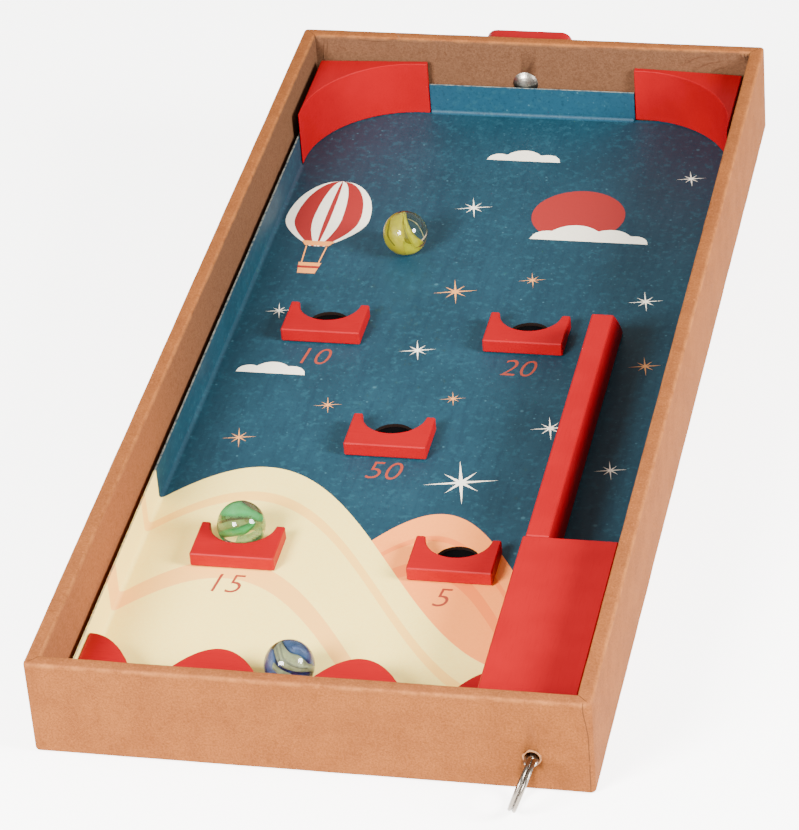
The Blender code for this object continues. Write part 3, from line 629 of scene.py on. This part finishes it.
def build_collar(look):
    """The lip that the plunger hole tore in the paper, ragged and highest at the top right."""
    shape = bmesh.new()
    steps = 48
    rows = []
    for step in range(steps):
        angle = math.tau * step / steps
        out = Vector((math.cos(angle), 0, math.sin(angle)))
        rough = noise.noise(out * 2.3 + Vector((5, 1, 2)))
        high = 0.12 + 0.2 * max(0, math.cos(angle - math.radians(50))) + 0.1 * rough
        reach = HOLE + 0.5 + 0.35 * rough + 0.2 * noise.noise(out * 6)
        inner = HOLE * (0.95 + 0.03 * rough)
        profile = (
            (inner, 1.2), (inner, -high * 0.6), (inner + 0.22, -high), (reach - 0.15, -0.06), (reach, 0.15),
        )
        rows.append([
            shape.verts.new(Vector((EYE.x, y, EYE.z)) + out * radius) for radius, y in profile
        ])
    for step in range(steps):
        near, far = rows[step], rows[(step + 1) % steps]
        for index in range(len(near)):
            after = (index + 1) % len(near)
            shape.faces.new((near[index], near[after], far[after], far[index]))
    bmesh.ops.recalc_face_normals(shape, faces=shape.faces)
    finish_piece(mesh_piece("torn_collar", shape, look, 50), "tray", "kraft_board")


def build_board_bends(look):
    """The rounded bends between the card's floor and its turned-up flanges."""
    shape = bmesh.new()
    radius = 1.5
    runs = (
        (Vector((-80.1, 43, 0)), Vector((-80.1, 341.6, 0)), Vector((1, 0, 0))),
        (Vector((80.1, 97.2, 0)), Vector((80.1, 343.2, 0)), Vector((-1, 0, 0))),
        (Vector((-38.6, 384.0, 0)), Vector((38.6, 384.0, 0)), Vector((0, -1, 0))),
    )
    for start, end, inward in runs:
        rows = []
        for place in (start, end):
            row = [place - inward * 0.1 + Vector((0, 0, PLAY_Z - 0.1))]
            for step in range(9):
                angle = math.pi / 2 * step / 8
                reach = radius * (1 - math.sin(angle))
                rise = radius * (1 - math.cos(angle))
                row.append(place + inward * (reach + 0.01) + Vector((0, 0, PLAY_Z + rise + 0.01)))
            rows.append([shape.verts.new(point) for point in row])
        near, far = rows
        for index in range(len(near)):
            after = (index + 1) % len(near)
            shape.faces.new((near[index], near[after], far[after], far[index]))
        shape.faces.new(near)
        shape.faces.new(list(reversed(far)))
    bmesh.ops.recalc_face_normals(shape, faces=shape.faces)
    finish_piece(mesh_piece("card_bends", shape, look, 40), "tray", "printed_card")


# Flat print on the board


def flat(shape, points, layer, slot):
    """A filled outline lying on the board."""
    z = PLAY_Z + PRINT_LAYER * layer
    face = shape.faces.new([shape.verts.new((x, y, z)) for x, y in points])
    face.normal_update()
    if face.normal.z < 0:
        face.normal_flip()
    face.material_index = slot
    return face


def star_points(x, y, reach):
    """A star of four long and four short rays, a little turned."""
    waist_share, short_share, turn = 0.13, 0.62, math.radians(12)
    points = []
    for step in range(16):
        angle = turn + math.tau * step / 16
        if step % 2:
            radius = reach * waist_share
        else:
            radius = reach * (1.0 if step % 4 == 0 else short_share)
        points.append((x + radius * math.cos(angle), y + radius * math.sin(angle)))
    return points


def cloud_points(x, y, bumps):
    """A cloud with a flat underside; its bumps are (middle, radius)."""
    low = min(middle - radius for middle, radius in bumps)
    high = max(middle + radius for middle, radius in bumps)
    points = [(x + high, y), (x + low, y)]
    steps = 48
    for step in range(1, steps):
        at = low + (high - low) * step / steps
        under = [(middle, radius) for middle, radius in bumps if abs(at - middle) <= radius]
        top = max((math.sqrt(radius ** 2 - (at - middle) ** 2) for middle, radius in under), default=0)
        points.append((x + at, y + max(top, 0.01)))
    return points


def circle_points(x, y, radius, steps=64):
    points = []
    for step in range(steps):
        angle = step * math.tau / steps
        points.append((x + radius * math.cos(angle), y + radius * math.sin(angle)))
    return points


def balloon_width(height_share):
    """The share of the envelope's half width, from the neck (0) to the crown (1)."""
    widest, neck = 0.42, 0.17
    if height_share > widest:
        lift = (height_share - widest) / (1 - widest)
        return math.sqrt(max(0, 1 - lift ** 2))
    return neck + (1 - neck) * math.sin(math.pi / 2 * height_share / widest) ** 0.9


def band_points(x, base, top_half, bottom_half, top, bottom):
    """A four-cornered strip, its upper and lower edges given as half widths and heights."""
    return [
        (x - top_half, base + top), (x + top_half, base + top),
        (x + bottom_half, base + bottom), (x - bottom_half, base + bottom),
    ]


def build_print(looks):
    """Sun, clouds, balloon and stars, lying on the card."""
    white, red, peach, amber = range(4)
    shape = bmesh.new()
    sun = (29, 316, 17)
    flat(shape, circle_points(*sun), 1, red)
    flat(shape, cloud_points(36, 299, ((-16, 6), (-6, 10.5), (7, 8.5), (16, 5))), 2, white)
    flat(shape, cloud_points(-60, 205, ((-8, 4.5), (0, 7), (7, 5))), 1, white)
    flat(shape, cloud_points(2, 352, ((-9, 4.5), (0, 7.5), (9, 5))), 1, white)
    x, base, tall, wide = -62, 287, 45, 15.5
    levels = [step / 40 for step in range(41)]
    outline = [(x + wide * balloon_width(v), base + tall * v) for v in levels]
    outline += [(x - wide * balloon_width(v), base + tall * v) for v in reversed(levels[:-1])]
    flat(shape, outline, 1, white)
    for low, high in ((-0.78, -0.34), (0.34, 0.78), (-0.06, 0.06)):
        edge = [(x + wide * high * balloon_width(v), base + tall * v) for v in levels]
        edge += [(x + wide * low * balloon_width(v), base + tall * v) for v in reversed(levels[:-1])]
        flat(shape, edge, 2, red)
    flat(shape, band_points(x, base, 4.4, 6.2, 0.4, 3.4), 3, peach)
    for side in (-1, 1):
        cord = ((4.0, 0), (3.5, 0), (2.9, -11), (3.4, -11))
        flat(shape, [(x + side * out, base + drop) for out, drop in cord], 1, peach)
    flat(shape, band_points(x, base, 4.2, 3.2, -11, -18), 1, peach)
    flat(shape, band_points(x, base, 4.0, 3.8, -13.2, -14.6), 2, red)
    stars = (
        (66, 345, 5.5, white), (-10, 318, 7, white), (-6, 262, 8, amber), (62, 262, 6.5, white),
        (20, 272, 5, amber), (-12, 224, 6.5, white), (-62, 166, 6, amber), (42, 182, 7, white),
        (-36, 188, 5, amber), (18, 148, 12.5, white), (68, 222, 6, amber), (66, 160, 5.5, white),
        (-66, 244, 5, white), (6, 196, 4.5, amber),
    )
    for sx, sy, reach, tone in stars:
        flat(shape, star_points(sx, sy, reach), 1, tone)
    bmesh.ops.triangulate(shape, faces=shape.faces)
    finish_piece(mesh_piece("printed_motifs", shape, looks, 0), "tray", "printed_card")


def build_scores(look):
    """The catches' scores in slanting figures below each block."""
    narrow_share = 0.86
    scores = (
        ("10", -47.8, 216.3), ("20", 24.7, 216.0), ("50", -9.2, 151.5),
        ("15", -47.5, 84.8), ("5", 23.6, 85.0),
    )
    for text, x, y in scores:
        curve = bpy.data.curves.new("score_" + text, "FONT")
        curve.body = text
        curve.size = 14.2
        curve.shear = 0.16
        curve.align_x = "CENTER"
        curve.align_y = "CENTER"
        curve.offset = -0.16
        curve.space_character = 1.02
        curve.materials.append(look)
        label = bpy.data.objects.new("score_" + text, curve)
        bpy.context.scene.collection.objects.link(label)
        piece = meshed(label)
        place = Matrix.Translation((x, y, PLAY_Z + 1.5 * PRINT_LAYER))
        piece.data.transform(place @ Matrix.Diagonal((narrow_share, 1, 1, 1)))
        piece.data.transform(CASE)
        finish_piece(piece, "tray", "printed_card")


# Marbles


def ball(radius, steps=48):
    shape = bmesh.new()
    bmesh.ops.create_uvsphere(shape, u_segments=steps, v_segments=steps // 2, radius=radius)
    return shape


def swirl(shape, middle, side, first, second, slot, depth=0.92, sink=0.14):
    """A curved blade between two edges, given as the front view shows them. Most blades are coloured glass; a
    few are painted reflections and highlights.
    """
    towards = (CAMERA - middle).normalized()
    across = (right - towards * right.dot(towards)).normalized()
    above = towards.cross(across)
    steps, cols = 24, 8
    edges = []
    for points in (first, second):
        edges.append(smooth_run([Vector((a, b, 0)) for a, b in points], steps // (len(points) - 1)))
    rows = []
    for low, high in zip(*edges):
        row = []
        for col in range(cols + 1):
            share = col / cols
            at = low.lerp(high, share)
            reach = max(at.length, 1e-4)
            angle = math.asin(min(reach, 1)) + max(0, reach - 1) * math.pi / 2
            out = (across * at.x + above * at.y) / reach * math.sin(angle) + towards * (math.cos(angle) * side)
            row.append(shape.verts.new(middle + out * MARBLE * (depth - sink * (2 * share - 1) ** 2)))
        rows.append(row)
    for near, far in zip(rows, rows[1:]):
        for col in range(cols):
            face = shape.faces.new((near[col], near[col + 1], far[col + 1], far[col]))
            face.material_index = slot


def build_marble(name, middle, tint, colours, blades, body, slot):
    """A clear ball with blades of coloured glass inside it, and a few blades that are painted reflections and
    highlights.
    """
    glass = ball(MARBLE)
    bmesh.ops.translate(glass, vec=middle, verts=glass.verts)
    outer = mesh_piece(name + "_glass", glass, glass_look(name + "_glass", tint), 60)
    finish_piece(outer, body, slot, name)
    inside = bmesh.new()
    for settings in blades:
        swirl(inside, middle, *settings)
    looks = [ribbon_look(f"{name}_swirl_{index}", *pair) for index, pair in enumerate(colours)]
    blade = mesh_piece(name + "_swirl", inside, looks, 180)
    blade.modifiers.new("thick", "SOLIDIFY").thickness = 0.3 * MM
    finish_piece(blade, body, slot)


# Plunger, ring and foot


def build_plunger(metal):
    """The rod and the eye bent at its end."""
    reach, wire, eye_steps = 1.65, 0.68, 48
    rod_length, rod_radius, rod_steps = 86.4, 0.9, 8
    start = EYE + Vector((0, reach, 0))
    rod = [start + Vector((0, rod_length * step / rod_steps, 0)) for step in range(rod_steps + 1)]
    eye = []
    for step in range(eye_steps):
        angle = math.tau * step / eye_steps
        eye.append(EYE + reach * Vector((math.cos(angle), math.sin(angle), 0)))
    runs = [(rod, rod_radius, False), (eye, wire, True)]
    finish_piece(wire_piece("eye_rod", runs, metal), "plunger", "nickel_steel", "plunger_rod")


def build_spring(steel):
    """The return spring, a fixed coil over the imported spring's length. In use it closes towards its front
    seat as the plunger is pulled.
    """
    node = NODES["return_spring"]
    reach = [(CASE.inverted() @ node.matrix_world @ vert.co).y for vert in node.data.vertices]
    front, rear = min(reach), max(reach)
    radius, wire, turns, turn_steps, pull = 4.1, 0.3, 11, 24, 28.3
    steps = turns * turn_steps
    points = []
    for step in range(steps + 1):
        angle = math.tau * step / turn_steps
        along = front + wire + (rear - front - 2 * wire) * step / steps
        points.append(Vector((EYE.x + radius * math.cos(angle), along, EYE.z + radius * math.sin(angle))))
    coil = meshed(wire_piece("return_coil", [(points, wire, False)], steel))
    finish_piece(coil, "tray", "spring_steel", "return_spring")
    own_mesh(coil)


def build_ring(metal):
    """A split ring of two turns, resting on the table."""
    lean = math.radians(20)
    turn = math.radians(4)
    normal = Vector((-math.cos(lean) * math.cos(turn), math.cos(lean) * math.sin(turn), math.sin(lean)))
    up = Vector((0, math.sin(TILT), math.cos(TILT)))
    drop = math.sqrt(1 - normal.dot(up) ** 2)
    down = (normal * normal.dot(up) - up) / drop
    outward = normal.cross(down)
    if outward.y > 0:
        outward = -outward
    radius, wire, clearance = 8.1, 0.66, 0.3
    height = EYE.dot(up) - wire - clearance
    swing = math.acos(height / (radius * drop) - 1)
    towards = down * math.cos(swing) + outward * math.sin(swing)
    middle = EYE + towards * radius
    across = normal.cross(towards)
    points = []
    start, total, steps = 35, 650, 180
    cross_start, cross_over = 325, 70
    for step in range(steps + 1):
        degrees = start + total * step / steps
        blend = min(1, max(0, (degrees - cross_start) / cross_over))
        side = -(wire + 0.04) * math.cos(math.pi * blend)
        angle = math.radians(degrees)
        spoke = across * math.sin(angle) - towards * math.cos(angle)
        points.append(middle + spoke * radius + normal * side)
    ring = wire_piece("split_ring", [(points, wire, False)], metal)
    finish_piece(ring, "ring", "nickel_steel", "pull_ring")


# Looks for every piece

kraft = kraft_look()
red = paint_look("red_paint", "Y")
red_across = paint_look("red_paint_across", "X")
nickel = plain_look("nickel_plate", (0.34, 0.305, 0.26, 1), 0.3, 1.0, 0.8, 0.02, 0.08)
print_looks = [
    print_look("white_print", rgb(255, 246, 224)),
    print_look("red_print", rgb(146, 26, 24)),
    print_look("peach_print", rgb(240, 150, 70)),
    print_look("amber_print", rgb(226, 150, 80)),
]

torn_paper = torn_paper_look()
board = board_look()
build_tray(kraft)
build_folds(kraft, torn_paper)
build_collar(torn_paper)
build_board_bends(board)
dress(["tray_floor"], kraft)
# Painted shade: a near-black sheet under the card, so that the catch holes look black as if deep in shade.
dress(["backing_sheet"], plain_look("black_card", rgb(7, 6, 7), 0.9, 0.0, 1.2, shine=0.05))
dress(["printed_board"], board)
dress(["launcher_block", "lane_divider", "left_deflector", "right_deflector", "rear_foot"], red, 0.07)
dress(["catch_10", "catch_20", "catch_50", "catch_15", "catch_5", "front_bumper"], red_across, 0.07)
dress(["plunger_head"], wood_look())
steel = plain_look("spring_steel", (0.45, 0.44, 0.43, 1), 0.35, 1.0, 1.0, 0.02)
dress(["spring_washer"], steel)
build_spring(steel)
dress(["pivot_bolt", "inner_washer", "outer_washer", "pivot_nut"], nickel)
build_print(print_looks)
build_scores(print_look("coral_print", rgb(146, 54, 36)))
build_plunger(nickel)
# Painted reflection: the ring's nickel is a darker copy of the rod's, standing in for dark surroundings
# reflected in the wire.
build_ring(plain_look("ring_nickel_dark_reflection", (0.2, 0.172, 0.142, 1), 0.26, 1.0, 0.8, 0.02, 0.08))
build_marble(
    "yellow_marble", YELLOW, rgb(238, 240, 214),
    [
        (rgb(208, 206, 2), rgb(194, 190, 2)), (rgb(196, 188, 2), rgb(188, 176, 4)),
        (rgb(120, 120, 12), rgb(138, 132, 8)), (rgb(196, 190, 130), rgb(170, 164, 100)),
    ],
    [
        (1, ((-0.1, 1.0), (-1.25, 0.5), (-1.3, -0.4), (-0.4, -1.3)),
         ((0.0, 0.96), (-0.1, 0.35), (-0.02, -0.3), (0.1, -1.0)), 1),
        (1, ((-0.1, 0.9), (-0.02, 0.3), (0.16, -0.2), (0.42, -0.72)),
         ((0.0, 0.98), (0.14, 0.45), (0.45, -0.1), (0.88, -0.45)), 0),
        (1, ((-0.15, -0.35), (-0.1, -0.8), (0.1, -1.25)),
         ((0.3, -0.6), (0.55, -0.72), (0.95, -0.6)), 0),
        (1, ((-0.7, 0.6), (-0.82, -0.1), (-0.5, -0.6)),
         ((-0.68, 0.58), (-0.77, -0.1), (-0.47, -0.58)), 2, 0.93, 0.01),
        (1, ((-0.3, 0.9), (-1.1, 0.0), (-0.3, -1.1)),
         ((-0.02, 0.9), (0.3, 0.0), (0.8, -0.5)), 2, 0.8, 0.1),
        # A thin pale vane whose pale edge is partly a painted highlight.
        (1, ((0.02, 0.72), (0.4, 0.56), (0.66, 0.3), (0.83, -0.06), (0.88, -0.3)),
         ((0.02, 0.69), (0.38, 0.53), (0.63, 0.28), (0.8, -0.07), (0.86, -0.3)), 3, 0.94, 0.02),
        (-1, ((-0.4, 1.2), (-1.2, 0.0), (-0.2, -1.2)), ((-0.35, 1.1), (-0.4, 0.0), (0.4, -1.1)), 1),
    ],
    "yellow_ball", "yellow_glass",
)
build_marble(
    "green_marble", GREEN, rgb(206, 216, 190),
    [
        (rgb(72, 212, 126), rgb(92, 218, 140), 0.7), (rgb(44, 180, 90), rgb(62, 190, 104), 0.74),
        (rgb(120, 112, 72), rgb(96, 88, 54), 0.6), (rgb(104, 190, 112), rgb(140, 196, 130), 0.5),
    ],
    [
        (1, ((-1.0, 0.4), (-0.4, 0.36), (0.2, 0.4), (0.88, 0.15)),
         ((-0.75, 0.8), (-0.2, 1.1), (0.4, 0.76), (0.95, 0.4)), 0),
        # Painted reflection: this brown crescent at the upper right rim is an image of dark surroundings seen
        # in the glass.
        (1, ((0.05, 0.94), (0.45, 0.72), (0.86, 0.42)), ((0.05, 1.06), (0.6, 0.92), (1.0, 0.5)), 2),
        (1, ((-0.9, 0.08), (-0.5, 0.2), (0.0, 0.26), (0.4, 0.24)),
         ((-0.9, 0.12), (-0.5, 0.25), (0.0, 0.3), (0.4, 0.26)), 2, 0.92, 0.03),
        (1, ((-1.0, 0.2), (-0.4, 0.3), (0.4, 0.3)), ((-1.0, 0.4), (-0.4, 0.38), (0.5, 0.4)), 3),
        (1, ((-0.95, -0.55), (-0.3, -0.5), (0.2, -0.4), (0.6, -0.02)),
         ((-0.9, -0.28), (-0.2, -0.16), (0.25, 0.0), (0.55, 0.2)), 1),
        (1, ((-0.3, -0.8), (0.3, -0.92), (0.85, -0.6)),
         ((-0.15, -0.52), (0.35, -0.45), (0.9, -0.1)), 3),
        (-1, ((-0.9, -0.2), (0.0, -0.15), (0.9, -0.1)),
         ((-0.9, 0.3), (0.0, 0.35), (0.9, 0.3)), 3, 0.85),
        (-1, ((-1.0, -0.7), (0.0, -0.9), (1.0, -0.6)),
         ((-1.0, -0.4), (0.0, -0.5), (1.0, -0.35)), 0),
        (-1, ((-1.0, 0.5), (0.0, 0.6), (0.9, 0.5)), ((-0.8, 0.85), (0.0, 1.0), (0.8, 0.8)), 1),
    ],
    "green_ball", "green_glass",
)
build_marble(
    "blue_marble", BLUE, rgb(240, 243, 250),
    [
        (rgb(32, 64, 104), rgb(46, 82, 124)), (rgb(22, 30, 72), rgb(30, 42, 88)),
        (rgb(172, 178, 128), rgb(148, 152, 106)), (rgb(62, 86, 128), rgb(80, 104, 142)),
        (rgb(136, 140, 104), rgb(120, 124, 94)),
    ],
    [
        (1, ((-0.28, 0.95), (0.08, 0.5), (0.5, 0.36), (0.88, -0.02)),
         ((-0.15, 1.2), (0.7, 1.0), (1.3, 0.4), (1.2, -0.1)), 0),
        (1, ((0.15, 0.62), (0.42, 0.6), (0.6, 0.45)),
         ((0.1, 0.72), (0.42, 0.74), (0.68, 0.52)), 3, 0.95, 0.02),
        (1, ((-0.64, 0.62), (-0.42, 0.02), (0.05, -0.22), (0.55, -0.28), (1.0, -0.22)),
         ((-0.36, 0.96), (-0.02, 0.52), (0.42, 0.36), (0.78, 0.02), (1.0, -0.04)), 2, 0.94, 0.08),
        (1, ((-0.4, 0.8), (-0.24, 0.2), (0.2, -0.08), (0.7, -0.14)),
         ((-0.37, 0.82), (-0.2, 0.24), (0.22, -0.04), (0.72, -0.12)), 4, 0.95, 0.01),
        (1, ((-0.55, 0.75), (-0.46, 0.4), (-0.42, 0.15)),
         ((-0.5, 0.78), (-0.42, 0.42), (-0.4, 0.15)), 4, 0.95, 0.01),
        (1, ((-0.66, -0.18), (-0.34, -0.46), (0.1, -0.6)),
         ((-0.68, 0.08), (-0.36, -0.22), (0.08, -0.42)), 2, 0.93, 0.08),
        (1, ((-0.8, 0.7), (-1.15, 0.0), (-0.85, -0.75)),
         ((-0.6, 0.55), (-0.6, 0.0), (-0.35, -0.7)), 3),
        (1, ((0.05, -0.72), (0.5, -0.95), (0.95, -0.6)),
         ((0.0, -0.34), (0.5, -0.36), (1.0, -0.26)), 1),
        (1, ((-0.55, 0.8), (-0.9, 0.0), (-0.4, -0.9)),
         ((0.5, 0.8), (0.85, 0.0), (0.5, -0.8)), 1, 0.78, 0.1),
        (-1, ((-0.8, 0.7), (-1.2, 0.0), (-0.8, -0.75)),
         ((-0.3, 0.9), (-0.5, 0.0), (-0.1, -0.9)), 0),
        (-1, ((-0.3, 0.9), (-0.45, 0.0), (-0.1, -0.9)),
         ((0.1, 0.95), (-0.05, 0.0), (0.3, -0.9)), 2, 0.94, 0.08),
        (-1, ((0.1, 0.95), (0.0, 0.0), (0.3, -0.9)), ((0.9, 0.8), (1.2, 0.0), (0.9, -0.8)), 1),
    ],
    "blue_ball", "blue_glass",
)

# Floor and studio light

floor_mesh = bpy.data.meshes.new("table")
floor_mesh.from_pydata([(-4, -3, 0), (4, -3, 0), (4, 6, 0), (-4, 6, 0)], [], [(0, 1, 2, 3)])
floor_look = Look("pale_table", roughness=0.7)
floor_grain = floor_look.noise(floor_look.place(), 0.02, 2)
floor_look.colour(floor_look.mix(floor_grain, rgb(248, 247, 245), rgb(252, 251, 249)))
floor_look.shader.inputs["Emission Color"].default_value = (1, 0.99, 0.97, 1)
floor_look.shader.inputs["Emission Strength"].default_value = 4.5
floor_mesh.materials.append(floor_look.material)
table = bpy.data.objects.new("table", floor_mesh)
bpy.context.scene.collection.objects.link(table)
table.location.z = -0.0002

SOFTBOX_DISTANCE = 1.1
SOFTBOX_SIZE = 0.42
SOFTBOX_AIM = Vector((0, 0, 0.03))


def softbox(name, direction, power):
    """A round lamp that shines on the game from a direction in the tray's own frame."""
    data = bpy.data.lights.new(name, "AREA")
    data.shape = "DISK"
    data.size = SOFTBOX_SIZE
    data.energy = power
    lamp = bpy.data.objects.new(name, data)
    bpy.context.scene.collection.objects.link(lamp)
    aim = (CASE_TURN @ Vector(direction)).normalized()
    lamp.location = SOFTBOX_AIM + aim * SOFTBOX_DISTANCE
    lamp.rotation_euler = aim.to_track_quat("Z", "Y").to_euler()


softbox("left_softbox", (-0.374, -0.754, 0.542), 38)
softbox("right_softbox", (0.834, -0.245, 0.493), 37)
world = bpy.data.worlds.new("studio")
world.use_nodes = True
world.node_tree.nodes["Background"].inputs["Color"].default_value = (1.0, 0.985, 0.96, 1)
world.node_tree.nodes["Background"].inputs["Strength"].default_value = 0.75
bpy.context.scene.world = world
